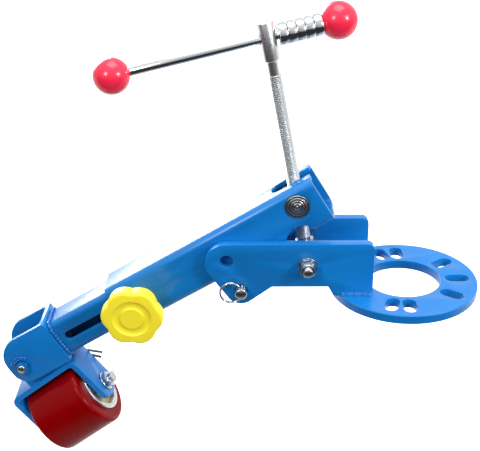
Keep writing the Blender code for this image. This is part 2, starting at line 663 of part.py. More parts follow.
bar = rod("handle_bar", BAR_R, BAR_LEFT - 8.0, BAR_RIGHT + 8.0, "X", steps=32, chamfer=0.6)
bar_piece(bar, material("bar_chrome", ZINC, 1.0, 0.15))
mouth = BAR_R + 0.35
balls = (("ball_grip_left", BAR_LEFT, BALL_LEFT_R, 1), ("ball_grip_right", BAR_RIGHT, BALL_RIGHT_R, -1))
for name, x, ball_r, sign in balls:
    profile = [(0, -ball_r)]
    profile += [(ball_r * sin(radians(t)), -ball_r * cos(radians(t))) for t in range(15, 151, 15)]
    top = sqrt(ball_r ** 2 - (mouth + 2.5) ** 2)
    profile += [(mouth + 2.5, top), (mouth, top), (mouth, -9.0), (0, -9.0)]
    ball = lathe(name, [(r, h * sign) for r, h in profile], "X", (x, 0, 0), 30)
    bar_piece(ball, material(name + "_red", RED, 0.0, 0.25))
first = BAR_RIGHT - sqrt(BALL_RIGHT_R ** 2 - (BAR_R + 2.85) ** 2) - 0.35
for i in range(5):
    high = first - i * (SPACER_W + 0.3)
    ring_obj = tube("lug_spacer_%d" % (5 - i), SPACER_R, BAR_R + 0.4, high - SPACER_W, high, "X")
    bar_piece(ring_obj, material("spacer_zinc_%d" % (5 - i), ZINC, 1.0, 0.25))

for obj in list(CUTTERS.objects):
    bpy.data.objects.remove(obj, do_unlink=True)
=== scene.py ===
import json
import random
from math import cos, pi, radians, sin, sqrt, tan

import bmesh
import bpy
from mathutils import Matrix, Vector

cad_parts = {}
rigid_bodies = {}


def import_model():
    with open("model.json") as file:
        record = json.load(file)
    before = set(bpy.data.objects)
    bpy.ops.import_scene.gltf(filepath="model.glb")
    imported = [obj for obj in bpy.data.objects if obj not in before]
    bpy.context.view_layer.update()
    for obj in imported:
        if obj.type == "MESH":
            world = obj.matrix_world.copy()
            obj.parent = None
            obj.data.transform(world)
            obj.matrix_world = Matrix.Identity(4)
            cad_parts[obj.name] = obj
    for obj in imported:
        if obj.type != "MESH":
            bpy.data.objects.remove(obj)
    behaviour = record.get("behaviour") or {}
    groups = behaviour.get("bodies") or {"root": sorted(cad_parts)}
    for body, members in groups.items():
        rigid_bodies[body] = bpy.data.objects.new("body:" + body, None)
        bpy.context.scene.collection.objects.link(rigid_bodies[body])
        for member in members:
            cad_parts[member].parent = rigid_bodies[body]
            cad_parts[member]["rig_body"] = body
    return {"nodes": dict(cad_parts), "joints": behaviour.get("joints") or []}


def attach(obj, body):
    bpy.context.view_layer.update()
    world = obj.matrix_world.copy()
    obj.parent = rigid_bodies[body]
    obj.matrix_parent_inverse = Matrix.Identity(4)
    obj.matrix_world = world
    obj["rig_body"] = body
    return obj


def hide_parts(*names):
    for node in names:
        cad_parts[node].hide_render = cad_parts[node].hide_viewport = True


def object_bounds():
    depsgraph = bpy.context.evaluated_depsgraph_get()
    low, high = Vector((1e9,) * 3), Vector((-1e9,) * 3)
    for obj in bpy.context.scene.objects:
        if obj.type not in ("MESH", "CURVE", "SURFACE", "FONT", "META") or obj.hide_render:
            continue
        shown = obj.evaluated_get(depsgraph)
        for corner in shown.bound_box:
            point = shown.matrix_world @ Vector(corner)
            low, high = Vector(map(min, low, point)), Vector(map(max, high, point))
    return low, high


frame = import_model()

cad_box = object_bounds()
nodes = frame["nodes"]
joints = {joint["name"]: joint for joint in frame["joints"]}

# ---------------------------------------------------------------- studio
# A white paper floor well under the roller, two softboxes in front, one overhead and a low panel
# behind that gives the gloss along the sloping top of the arm. The camera looks down on the tool.
scene = bpy.context.scene
scene.view_settings.view_transform = "Standard"


def colour(hex_code):
    """An sRGB hex colour as linear RGBA."""
    parts = [int(hex_code[i:i + 2], 16) / 255 for i in (1, 3, 5)]
    return [p / 12.92 if p <= 0.04045 else ((p + 0.055) / 1.055) ** 2.4 for p in parts] + [1.0]


def add(tree, kind, settings=None, links=None):
    """One node with its settings (sockets by name or number, or properties) and its links."""
    node = tree.nodes.new(kind)
    for key, value in (settings or {}).items():
        if isinstance(key, int) or key in node.inputs:
            node.inputs[key].default_value = value
        else:
            setattr(node, key, value)
    for key, source in (links or {}).items():
        tree.links.new(source, node.inputs[key])
    return node


def seated(x, y, z, place):
    """A frame with the given axes, at a place."""
    return Matrix.Translation(place) @ Matrix((x, y, z)).transposed().to_4x4()


CAMERA_AZIMUTH, CAMERA_ELEVATION, CAMERA_ROLL = radians(1.20), radians(26.27), radians(-0.77)
CAMERA_PLACE = Vector((-0.15670, -0.97096, 0.55414))
FOCAL_MM, SENSOR_MM = 76.13, 36.0
back = Vector((
    sin(CAMERA_AZIMUTH) * cos(CAMERA_ELEVATION),
    -cos(CAMERA_AZIMUTH) * cos(CAMERA_ELEVATION),
    sin(CAMERA_ELEVATION),
))
right = (-back).cross(Vector((0, 0, 1))).normalized()
up = right.cross(-back)
turned_right = right * cos(CAMERA_ROLL) + up * sin(CAMERA_ROLL)
turned_up = up * cos(CAMERA_ROLL) - right * sin(CAMERA_ROLL)
lens = bpy.data.cameras.new("studio_camera")
lens.lens = FOCAL_MM
lens.sensor_width = SENSOR_MM
lens.clip_end = 50.0
camera = bpy.data.objects.new("studio_camera", lens)
camera.matrix_world = seated(turned_right, turned_up, back, CAMERA_PLACE)
scene.collection.objects.link(camera)
scene.camera = camera

# The arm can swing lower than it is built, so the paper lies well under the tool.
FLOOR_DROP, FLOOR_HALF = 0.1, 40.0
floor_mesh = bmesh.new()
bmesh.ops.create_grid(floor_mesh, x_segments=1, y_segments=1, size=FLOOR_HALF)
bmesh.ops.translate(floor_mesh, vec=(0, 0, cad_box[0].z - FLOOR_DROP), verts=floor_mesh.verts)
floor_data = bpy.data.meshes.new("paper_floor")
floor_mesh.to_mesh(floor_data)
floor_mesh.free()
floor = bpy.data.objects.new("paper_floor", floor_data)
scene.collection.objects.link(floor)
paper = bpy.data.materials.new("white_paper")
paper.use_nodes = True
sheet = paper.node_tree
paper_shader = sheet.nodes["Principled BSDF"]
paper_shader.inputs["Base Color"].default_value = colour("#f6f6f6")
paper_shader.inputs["Roughness"].default_value = 0.9
paper_shader.inputs["Emission Color"].default_value = colour("#ffffff")
paper_shader.inputs["Emission Strength"].default_value = 0.62
# Only the camera sees the paper glow. All else sees paper that is white behind the tool and falls
# to dark grey in front of it, so that the glossy blue faces aren't hazed with white.
GREY_AT, WHITE_AT = -0.32, 0.22
paper_place = add(
    sheet,
    "ShaderNodeSeparateXYZ",
    links={0: add(sheet, "ShaderNodeTexCoord").outputs["Object"]},
)
fall = add(
    sheet,
    "ShaderNodeMapRange",
    {"From Min": GREY_AT, "From Max": WHITE_AT},
    {"Value": paper_place.outputs["Y"]},
)
paper_tone = add(
    sheet,
    "ShaderNodeMix",
    {"data_type": "RGBA", 6: colour("#242628"), 7: colour("#f4f4f4")},
    {0: fall.outputs[0]},
)
dim_paper = add(sheet, "ShaderNodeBsdfDiffuse", links={"Color": paper_tone.outputs[2]})
seen = add(sheet, "ShaderNodeLightPath")
sides = add(
    sheet,
    "ShaderNodeMixShader",
    links={0: seen.outputs["Is Camera Ray"], 1: dim_paper.outputs[0], 2: paper_shader.outputs[0]},
)
sheet.links.new(sides.outputs[0], sheet.nodes["Material Output"].inputs["Surface"])
floor_data.materials.append(paper)

# The air of the studio is grey low in front and whitens upwards and towards the back.
AIR_SLOPE, AIR_MIDDLE, AIR_WHITE_AT, AIR_STRENGTH = (0.10, 0.26, 0.62), 0.50, 0.88, 0.95
world = bpy.data.worlds.new("studio_air")
world.use_nodes = True
scene.world = world
air = world.node_tree
heading = add(air, "ShaderNodeTexCoord")
toward = add(
    air,
    "ShaderNodeVectorMath",
    {"operation": "DOT_PRODUCT", 1: AIR_SLOPE},
    {0: heading.outputs["Generated"]},
)
level = add(air, "ShaderNodeMath", {"operation": "ADD", 1: AIR_MIDDLE}, {0: toward.outputs["Value"]})
ramp = add(air, "ShaderNodeValToRGB", links={0: level.outputs[0]})
ramp.color_ramp.elements[0].color = colour("#33363a")
ramp.color_ramp.elements[1].color = colour("#ffffff")
ramp.color_ramp.elements[1].position = AIR_WHITE_AT
air.links.new(ramp.outputs[0], air.nodes["Background"].inputs["Color"])
air.nodes["Background"].inputs["Strength"].default_value = AIR_STRENGTH

SOFTBOXES = (
    ("front_left_box", (-1.25, -1.55, 1.25), 0.55, 16.5),
    ("front_right_box", (1.35, -1.15, 1.05), 0.5, 24.0),
    ("overhead_box", (-0.1, 0.1, 2.1), 1.4, 26.0),
    ("low_back_panel", (-1.45, 2.4, 0.75), 1.5, 100.0),
)
aim = Vector((-0.18, 0.0, 0.06))
for name, place, size, watts in SOFTBOXES:
    lamp = bpy.data.lights.new(name, "AREA")
    lamp.shape = "SQUARE"
    lamp.size = size
    lamp.energy = watts
    box = bpy.data.objects.new(name, lamp)
    box.location = place
    box.rotation_euler = (aim - Vector(place)).to_track_quat("-Z", "Y").to_euler()
    # The panel is there for the gloss along the top of the arm, so matt surfaces don't see it.
    box.visible_diffuse = name != "low_back_panel"
    scene.collection.objects.link(box)

# ---------------------------------------------------------------- hub plate and side plates
# A flame-cut 10 mm steel plate that bolts to a wheel hub, with two laser-cut side plates
# welded upright on it. All of it wears one coat of glossy blue baked enamel.
MM = 0.001
CLOUD_MM = 24.0


def enamel(name, base, shade, rough, peel=1.6, depth=0.05, shine=0.5):
    """A coat or moulding of one colour: faint clouding, and fine dimples such as orange peel."""
    mat = bpy.data.materials.new(name)
    mat.use_nodes = True
    tree = mat.node_tree
    shader = tree.nodes["Principled BSDF"]
    shader.inputs["Specular IOR Level"].default_value = shine
    place = add(tree, "ShaderNodeTexCoord").outputs["Object"]
    cloud = add(tree, "ShaderNodeTexNoise", {"Scale": 1 / (CLOUD_MM * MM), "Detail": 4.0}, {"Vector": place})
    tint = add(
        tree,
        "ShaderNodeMix",
        {"data_type": "RGBA", 6: colour(base), 7: colour(shade)},
        {0: cloud.outputs["Fac"]},
    )
    tree.links.new(tint.outputs[2], shader.inputs["Base Color"])
    skin = add(tree, "ShaderNodeTexNoise", {"Scale": 1 / (peel * MM), "Detail": 2.0}, {"Vector": place})
    bump = add(
        tree,
        "ShaderNodeBump",
        {"Strength": 0.35, "Distance": depth * MM},
        {"Height": skin.outputs["Fac"]},
    )
    tree.links.new(bump.outputs["Normal"], shader.inputs["Normal"])
    gloss = add(
        tree,
        "ShaderNodeMapRange",
        {"To Min": rough - 0.05, "To Max": rough + 0.07},
        {"Value": cloud.outputs["Fac"]},
    )
    tree.links.new(gloss.outputs[0], shader.inputs["Roughness"])
    return mat


SMOOTH_BELOW, SHARP_ABOVE, FLAT_BELOW, MERGE_MM = radians(34), radians(50), radians(0.5), 0.002


def show(name, mesh, material, body, stands_for=()):
    """Shades a finished mesh, hangs it on its body and hides what it stands for."""
    for face in mesh.polygons:
        face.use_smooth = True
    mesh.set_sharp_from_angle(angle=SMOOTH_BELOW)
    mesh.materials.clear()
    mesh.materials.append(material)
    piece = bpy.data.objects.new(name, mesh)
    scene.collection.objects.link(piece)
    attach(piece, body)
    if stands_for:
        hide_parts(*stands_for)
    return piece


def eased(name, node, material, edge=0.0):
    """The solid of a node as one skin, its sharp edges eased by so many millimetres."""
    bm = bmesh.new()
    bm.from_mesh(nodes[node].data)
    bmesh.ops.remove_doubles(bm, verts=bm.verts, dist=MERGE_MM * MM)
    if edge:
        bmesh.ops.dissolve_limit(bm, angle_limit=FLAT_BELOW, verts=bm.verts, edges=bm.edges)
        sharp = [e for e in bm.edges if len(e.link_faces) == 2 and e.calc_face_angle(0) > SHARP_ABOVE]
        bmesh.ops.bevel(
            bm,
            geom=sharp,
            offset=edge * MM,
            segments=2,
            profile=0.5,
            affect="EDGES",
            material=-1,
            clamp_overlap=True,
        )
    mesh = bpy.data.meshes.new(name)
    bm.to_mesh(mesh)
    bm.free()
    return show(name, mesh, material, nodes[node]["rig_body"], (node,))


# Baked enamel is one deep colour and mirrors the lights, broken a little by its orange peel.
blue_enamel = enamel("blue_baked_enamel", "#0e7ac8", "#0a6dba", 0.28)
eased("hub_and_side_plates", "mounting_base", blue_enamel, 0.5)


def skin_of(curve, name):
    """The mesh of a round bar or bead that follows a curve."""
    holder = bpy.data.objects.new(name + "_line", curve)
    scene.collection.objects.link(holder)
    bpy.context.view_layer.update()
    mesh = bpy.data.meshes.new_from_object(holder.evaluated_get(bpy.context.evaluated_depsgraph_get()))
    bpy.data.objects.remove(holder, do_unlink=True)
    bpy.data.curves.remove(curve)
    mesh.name = name
    return mesh


def ripple(name, points, radius, material, body, seed, lift=0.1, closed=False, stands_for=()):
    """A laid weld bead: a round rib whose thickness steps with each pool of metal."""
    chance = random.Random(seed)
    curve = bpy.data.curves.new(name, "CURVE")
    curve.dimensions = "3D"
    curve.bevel_depth = radius * MM
    curve.bevel_resolution = 3
    curve.use_fill_caps = True
    line = curve.splines.new("POLY")
    line.points.add(len(points) - 1)
    line.use_cyclic_u = closed
    for i, (point, spot) in enumerate(zip(line.points, points)):
        point.co = (*spot, 1.0)
        point.radius = 1.0 + lift * ((i % 3) - 1) + chance.uniform(-0.05, 0.05)
    return show(name, skin_of(curve, name), material, body, stands_for)


# The same enamel over a weld is rougher, so the beads glint in spots.
weld_enamel = enamel("blue_enamel_on_weld", "#026ebb", "#0058a2", 0.34, 0.9, 0.12)
BEAD_R, BEAD_ASIDE, BEAD_Z, BEAD_POOLS = 4.1, 0.13, 9.75, 44
FOOT_CIRCLE, FOOT_INSET, FOOT_END = 78.0, 1.0, -38.2
PLATE_FACES = (("near_outer", -36.0), ("near_inner", -26.0), ("far_inner", 26.0), ("far_outer", 36.0))
for number, (side, y) in enumerate(PLATE_FACES):
    first = -sqrt(FOOT_CIRCLE ** 2 - y * y) + FOOT_INSET
    run = [
        Vector((first + (FOOT_END - first) * i / (BEAD_POOLS - 1), y + BEAD_ASIDE, BEAD_Z)) * MM
        for i in range(BEAD_POOLS)
    ]
    ripple("foot_weld_" + side, run, BEAD_R, weld_enamel, "base", 11 + number)

# ---------------------------------------------------------------- arm pivot pin
# A turned 12.5 mm steel pin pushed through both side plates and the arm, with a split ring
# of spring wire through the cross hole of its near end for pulling it out.


GRAIN_DEPTH_MM = 0.015


def steel(name, base, shade, rough, grain=3.0):
    """Bare or plated metal: its gloss and tone wander a little, as handled metal does."""
    mat = bpy.data.materials.new(name)
    mat.use_nodes = True
    tree = mat.node_tree
    shader = tree.nodes["Principled BSDF"]
    shader.inputs["Metallic"].default_value = 1.0
    place = add(tree, "ShaderNodeTexCoord").outputs["Object"]
    wander = add(tree, "ShaderNodeTexNoise", {"Scale": 1 / (grain * MM), "Detail": 5.0}, {"Vector": place})
    tint = add(
        tree,
        "ShaderNodeMix",
        {"data_type": "RGBA", 6: colour(base), 7: colour(shade)},
        {0: wander.outputs["Fac"]},
    )
    tree.links.new(tint.outputs[2], shader.inputs["Base Color"])
    gloss = add(
        tree,
        "ShaderNodeMapRange",
        {"To Min": rough - 0.07, "To Max": rough + 0.1},
        {"Value": wander.outputs["Fac"]},
    )
    tree.links.new(gloss.outputs[0], shader.inputs["Roughness"])
    bump = add(
        tree,
        "ShaderNodeBump",
        {"Strength": 0.5, "Distance": GRAIN_DEPTH_MM * MM},
        {"Height": wander.outputs["Fac"]},
    )
    tree.links.new(bump.outputs["Normal"], shader.inputs["Normal"])
    return mat


def drawn(bm, frame_at, name, material, body, stands_for=()):
    """Closes a piece drawn in millimetres in its own frame and seats it in the tool."""
    bmesh.ops.remove_doubles(bm, verts=bm.verts, dist=0.001)
    bmesh.ops.recalc_face_normals(bm, faces=bm.faces)
    bmesh.ops.transform(bm, matrix=frame_at @ Matrix.Scale(MM, 4), verts=bm.verts)
    mesh = bpy.data.meshes.new(name)
    bm.to_mesh(mesh)
    bm.free()
    return show(name, mesh, material, body, stands_for)


def turned(profile, steps=72, ring=False):
    """Radius and height pairs spun round Z."""
    bm = bmesh.new()
    spots = [bm.verts.new((r, 0.0, h)) for r, h in profile]
    last = len(spots) if ring else len(spots) - 1
    lines = [bm.edges.new((spots[i], spots[(i + 1) % len(spots)])) for i in range(last)]
    bmesh.ops.spin(
        bm,
        geom=spots + lines,
        cent=(0, 0, 0),
        axis=(0, 0, 1),
        angle=2 * pi,
        steps=steps,
        use_merge=True,
    )
    bmesh.ops.remove_doubles(bm, verts=bm.verts, dist=0.001)
    return bm


TO_Y = Matrix.Rotation(pi / 2, 4, "X")
TO_X = Matrix(((0, 0, 1, 0), (1, 0, 0, 0), (0, 1, 0, 0), (0, 0, 0, 1)))
# Ground steel is a mid grey metal that shows the lights as soft streaks.
bright_steel = steel("ground_steel", "#cfd2d4", "#aeb2b6", 0.24)
# Nickel on hard drawn wire is paler and nearly a mirror.
spring_wire = steel("nickel_spring_wire", "#e4e6e8", "#c3c7cb", 0.16)
pin_centre = Vector(joints["arm_pivot"]["pos_m"])
eased("pivot_pin", "quick_release_pin", bright_steel)

RING_MEAN, RING_WIRE, RING_ASIDE, RING_SLACK = 11.5, 1.0, 0.55, 0.85
split_ring = bmesh.new()
for lean in (-RING_ASIDE, RING_ASIDE):
    loop = bmesh.ops.create_circle(split_ring, segments=14, radius=RING_WIRE, cap_ends=False)["verts"]
    bmesh.ops.translate(split_ring, vec=(RING_MEAN, lean, 0), verts=loop)
    edges = [e for e in split_ring.edges if all(v in loop for v in e.verts)]
    bmesh.ops.spin(
        split_ring,
        geom=loop + edges,
        cent=(0, 0, 0),
        axis=(0, 1, 0),
        angle=2 * pi,
        steps=72,
        use_merge=True,
    )
ring_place = Matrix.Translation(Vector(joints["ring_swing"]["pos_m"]))
ring_shift = Matrix.Translation((-(RING_MEAN - RING_SLACK) * MM, 0, 0))
drawn(split_ring, ring_place @ ring_shift, "split_pull_ring", spring_wire, "ring", ("pull_ring",))

# ---------------------------------------------------------------- foot of the screw
# A plain steel block that swivels on an M10 bolt between the side plates. A lock nut with
# a nylon collar and two zinc washers hold the bolt.
# Bright zinc plate is a cold, pale mirror with a faint cloud in it.
zinc = steel("bright_zinc_plate", "#e3e5e6", "#bfc3c6", 0.20)
eased("swivel_block_body", "swivel_block", bright_steel, 0.6)
eased("swivel_bolt_body", "swivel_bolt", bright_steel)
eased("near_washer", "swivel_washer_near", zinc, 0.3)
eased("far_washer", "swivel_washer_far", zinc, 0.3)
eased("thrust_ring", "thrust_collar", zinc, 0.4)


def shaped(body, *steps):
    """A drawn piece after other drawn pieces were cut from it, joined to it or kept in common."""
    holders = []
    for bm in (body, *[tool for _, tool in steps]):
        bmesh.ops.recalc_face_normals(bm, faces=bm.faces)
        mesh = bpy.data.meshes.new("rough")
        bm.to_mesh(mesh)
        bm.free()
        holder = bpy.data.objects.new("rough", mesh)
        scene.collection.objects.link(holder)
        holders.append(holder)
    for (way, _), holder in zip(steps, holders[1:]):
        step = holders[0].modifiers.new("step", "BOOLEAN")
        step.operation = way
        step.solver = "EXACT"
        step.object = holder
    bpy.context.view_layer.update()
    done = bpy.data.meshes.new_from_object(holders[0].evaluated_get(bpy.context.evaluated_depsgraph_get()))
    result = bmesh.new()
    result.from_mesh(done)
    for holder in holders:
        bpy.data.objects.remove(holder, do_unlink=True)
    bpy.data.meshes.remove(done)
    return result


def hex_nut(flats, low, high, bore, turn):
    """A hexagon nut along Z with turned corners and a bore, faced to length by the turned form."""
    # The raw hexagon is longer than the nut, because faces in one plane would spoil the cut.
    nut = bmesh.new()
    bmesh.ops.create_cone(
        nut,
        cap_ends=True,
        segments=6,
        radius1=flats / sqrt(3),
        radius2=flats / sqrt(3),
        depth=high - low + 2,
        matrix=Matrix.Translation((0, 0, (low + high) / 2)) @ Matrix.Rotation(radians(turn - 90), 4, "Z"),
    )
    wide, face = flats * 0.62, flats * 0.475
    drop = (wide - face) * tan(radians(30))
    dome = turned([(0, low), (face, low), (wide, low + drop), (wide, high - drop), (face, high), (0, high)])
    hole = turned([(0, low - 5), (bore, low - 5), (bore, high + 5), (0, high + 5)], 48)
    return shaped(nut, ("INTERSECT", dome), ("DIFFERENCE", hole))


foot = Matrix.Translation(Vector(joints["swivel_tilt"]["pos_m"]))
NUT_LOW, NUT_HIGH, BOLT_BORE = 38.7, 45.2, 5.35
lock_nut = hex_nut(17.0, NUT_LOW, NUT_HIGH, BOLT_BORE, 12)
drawn(lock_nut, foot @ TO_Y, "lock_nut_hexagon", zinc, "base", ("swivel_lock_nut",))
crown = turned([(5.5, 45.0), (7.7, 45.0), (7.7, 46.8), (6.9, 48.2), (6.0, 48.6), (5.5, 48.6)], 48, ring=True)
drawn(crown, foot @ TO_Y, "lock_nut_crown", zinc, "base")

# ---------------------------------------------------------------- outer arm
# A 50 by 54 mm welded box tube, slotted on top for the screw and notched underneath, in the
# same enamel. The trunnion nut is a turned bar of plain steel across it.
eased("outer_arm_tube", "arm_outer", blue_enamel, 0.4)


def faced(name, base, shade, rough, centre, pitch):
    """Metal faced on a lathe: rings of the tool round a centre line along Y."""
    mat = steel(name, base, shade, rough, 2.0)
    tree = mat.node_tree
    shader = tree.nodes["Principled BSDF"]
    place = add(tree, "ShaderNodeTexCoord").outputs["Object"]
    moved = add(tree, "ShaderNodeVectorMath", {"operation": "SUBTRACT", 1: centre}, {0: place})
    flat = add(tree, "ShaderNodeVectorMath", {"operation": "MULTIPLY", 1: (1, 0, 1)}, {0: moved.outputs[0]})
    reach = add(tree, "ShaderNodeVectorMath", {"operation": "LENGTH"}, {0: flat.outputs[0]})
    phase = add(
        tree,
        "ShaderNodeMath",
        {"operation": "MULTIPLY", 1: 2 * pi / (pitch * MM)},
        {0: reach.outputs["Value"]},
    )
    wave = add(tree, "ShaderNodeMath", {"operation": "SINE"}, {0: phase.outputs[0]})
    bump = add(tree, "ShaderNodeBump", {"Strength": 1.0, "Distance": 0.3 * MM}, {"Height": wave.outputs[0]})
    tree.links.new(bump.outputs["Normal"], shader.inputs["Normal"])
    share = add(tree, "ShaderNodeMapRange", {"From Min": -1.0}, {"Value": wave.outputs[0]})
    rings = add(
        tree,
        "ShaderNodeMix",
        {"data_type": "RGBA", 6: colour(shade), 7: colour(base)},
        {0: share.outputs[0]},
    )
    tree.links.new(rings.outputs[2], shader.inputs["Base Color"])
    return mat


trunnion_centre = Vector(joints["trunnion_tilt"]["pos_m"])
# Bar steel faced on a lathe is a darker grey, ringed with tool marks. Such marks are a few tenths
# of a millimetre apart, and they are drawn coarser so that they show.
TOOL_MARK_MM = 2.9
faced_steel = faced("faced_bar_steel", "#a9abac", "#5f6265", 0.34, trunnion_centre, TOOL_MARK_MM)
eased("trunnion_bar", "trunnion_nut", faced_steel)

# ---------------------------------------------------------------- inner arm and its clamp
# A smaller box tube that slides in the outer one, slotted on the near side for the clamp
# stud. The yellow knob is moulded ABS with six soft lobes and a sunk ring in its face.
eased("inner_arm_tube", "arm_inner", blue_enamel, 0.4)
eased("clamp_pad", "clamp_plate", bright_steel, 0.4)
eased("clamp_stud_body", "clamp_stud", zinc)

KNOB_R, LOBE, LOBES, LOBE_TURN = 33.0, 3.2, 6, radians(26.2)
FACE, RIM, ROUNDING = 61.0, 16.5, 3.4
knob = bmesh.new()
outline = bmesh.ops.create_circle(knob, segments=144, radius=KNOB_R, cap_ends=True)["verts"]
for v in outline:
    angle = Vector((v.co.x, v.co.y)).angle_signed(Vector((1, 0)))
    wave = (1 + cos(LOBES * (angle - LOBE_TURN))) / 2
    v.co.xy *= (KNOB_R - LOBE + LOBE * wave ** 0.55) / KNOB_R
bmesh.ops.translate(knob, vec=(0, 0, FACE - RIM), verts=knob.verts)
raised = bmesh.ops.extrude_face_region(knob, geom=list(knob.faces))
top = [v for v in raised["geom"] if isinstance(v, bmesh.types.BMVert)]
bmesh.ops.translate(knob, vec=(0, 0, RIM), verts=top)
bmesh.ops.recalc_face_normals(knob, faces=knob.faces)
rims = [e for e in knob.edges if abs(e.verts[0].co.z - e.verts[1].co.z) < 0.01]
bmesh.ops.bevel(knob, geom=rims, offset=ROUNDING, segments=6, profile=0.5, affect="EDGES", material=-1)
hub_shape = turned([(0, 25.7), (14.5, 25.7), (16, 27.2), (16, FACE - 6), (0, FACE - 6)], 72)
sunk_ring = [(11.6, FACE + 1), (11.9, FACE - 0.6), (12.9, FACE - 1.5), (15.2, FACE - 2.0), (17.6, FACE - 1.7)]
sunk_ring += [(19.6, FACE - 1.0), (20.8, FACE - 0.1), (21.4, FACE + 1)]
sunk_ring = turned(sunk_ring, 96, ring=True)
stud_bore = turned([(0, 20), (BOLT_BORE, 20), (BOLT_BORE, 54), (0, 54)], 48)
knob = shaped(knob, ("UNION", hub_shape), ("DIFFERENCE", sunk_ring), ("DIFFERENCE", stud_bore))
# ABS from a mould is coloured right through, with a satin skin that blurs the lights.
yellow_abs = enamel("yellow_moulded_abs", "#fff13a", "#fbe42a", 0.40, 0.8, 0.03)
arm_ahead = -Vector(joints["arm_telescope"]["axis"]).normalized()


def along(axis, origin):
    """A frame with X along an axis, Y across the tool, at a point."""
    x = Vector(axis).normalized()
    y = (Vector((0, 1, 0)) - x * x.y).normalized()
    return seated(x, y, x.cross(y), Vector(origin))


knob_frame = along(arm_ahead, joints["knob_turn"]["pos_m"])
drawn(knob, knob_frame @ TO_Y, "lobed_knob", yellow_abs, "knob", ("clamp_knob",))

# ---------------------------------------------------------------- clevis
# A channel of 5.5 mm plate welded to the end of the inner arm, enamelled with it. An M10
# bolt with a tack-welded nut is the pivot of the roller yoke.
eased("clevis_channel", "clevis_bracket", blue_enamel, 0.6)
arm_frame = along(arm_ahead, pin_centre)
seam = []
SEAM_X, SEAM_Y, SEAM_LOW, SEAM_HIGH, SEAM_CORNER, SEAM_POOL = -211.2, 20.9, 18.1, 63.9, 8.0, 1.3
corners = (
    (SEAM_Y - SEAM_CORNER, SEAM_LOW + SEAM_CORNER, 270),
    (SEAM_Y - SEAM_CORNER, SEAM_HIGH - SEAM_CORNER, 0),
    (-SEAM_Y + SEAM_CORNER, SEAM_HIGH - SEAM_CORNER, 90),
    (-SEAM_Y + SEAM_CORNER, SEAM_LOW + SEAM_CORNER, 180),
)
for n, (y, z, start) in enumerate(corners):
    for step in range(9):
        a = radians(start + 90 * step / 8)
        seam.append(Vector((SEAM_X, y + SEAM_CORNER * cos(a), z + SEAM_CORNER * sin(a))))
    ahead = corners[(n + 1) % 4]
    a = radians(ahead[2])
    goal = Vector((SEAM_X, ahead[0] + SEAM_CORNER * cos(a), ahead[1] + SEAM_CORNER * sin(a)))
    length = (goal - seam[-1]).length
    pieces = int(length / SEAM_POOL)
    from_here = seam[-1].copy()
    seam += [from_here.lerp(goal, (i + 1) / pieces) for i in range(pieces - 1)]
seam = [arm_frame @ (spot * MM) for spot in seam]
ripple("clevis_seam_weld", seam, 2.0, weld_enamel, "inner", 31, 0.2, True, ("clevis_weld",))

yoke_pivot = Vector(joints["yoke_tilt"]["pos_m"])
pivot_frame = along(arm_ahead, yoke_pivot)
eased("yoke_bolt", "yoke_pivot_bolt", bright_steel)
yoke_nut = hex_nut(14.4, 24.35, 30.2, BOLT_BORE, 10)
drawn(yoke_nut, pivot_frame @ TO_Y, "yoke_nut", weld_enamel, "inner", ("yoke_pivot_nut",))
TACK_Y, TACK_FROM, TACK_SWEEP, TACK_POOLS, TACK_WEAVE = -24.4, 34, 112, 26, 0.8
for row, (middle_reach, thick) in enumerate(((9.6, 1.5), (12.0, 1.2))):
    tack = []
    for i in range(TACK_POOLS):
        a = radians(TACK_FROM + TACK_SWEEP * i / (TACK_POOLS - 1))
        reach = middle_reach + TACK_WEAVE * sin(i * 1.9 + row)
        tack.append(pivot_frame @ (Vector((reach * cos(a), TACK_Y, reach * sin(a))) * MM))
    ripple("yoke_nut_tack_%d" % (row + 1), tack, thick, weld_enamel, "inner", 47 + row, 0.34)

# ---------------------------------------------------------------- roller yoke
# A bent U of 6 mm plate that tilts in the clevis and carries the roller axle. The axle is a
# 12 mm bolt with a washer, a nut and a split pin through its end.
eased("yoke_channel", "roller_yoke", blue_enamel, 0.6)
axle_line = joints["roller_spin"]["axis"]
roller_frame = along(axle_line, joints["roller_spin"]["pos_m"])
into_roller = roller_frame.inverted()


def reach_along(node):
    """The lowest and highest x of a node in the roller's frame, in millimetres."""
    xs = [(into_roller @ v.co).x / MM for v in nodes[node].data.vertices]
    return min(xs), max(xs)


eased("axle_bolt", "roller_axle", bright_steel)
eased("axle_washer_body", "axle_washer", zinc, 0.3)
eased("left_sleeve", "axle_inner_left_sleeve", zinc)
eased("right_sleeve", "axle_inner_right_sleeve", zinc)
nut_low, nut_high = reach_along("axle_nut")
axle_nut = hex_nut(17.4, round(nut_low, 2), round(nut_high, 2), 6.35, 20)
drawn(axle_nut, roller_frame @ TO_X, "axle_nut_body", zinc, "yoke", ("axle_nut",))


def bent_wire(name, spots, radius, frame_at, material, body, stands_for=()):
    """Round wire bent through the given points."""
    curve = bpy.data.curves.new(name, "CURVE")
    curve.dimensions = "3D"
    curve.bevel_depth = radius * MM
    curve.bevel_resolution = 4
    curve.resolution_u = 6
    curve.use_fill_caps = True
    line = curve.splines.new("BEZIER")
    line.bezier_points.add(len(spots) - 1)
    for point, spot in zip(line.bezier_points, spots):
        point.co = frame_at @ (Vector(spot) * MM)
        point.handle_left_type = point.handle_right_type = "AUTO"
    return show(name, skin_of(curve, name), material, body, stands_for)


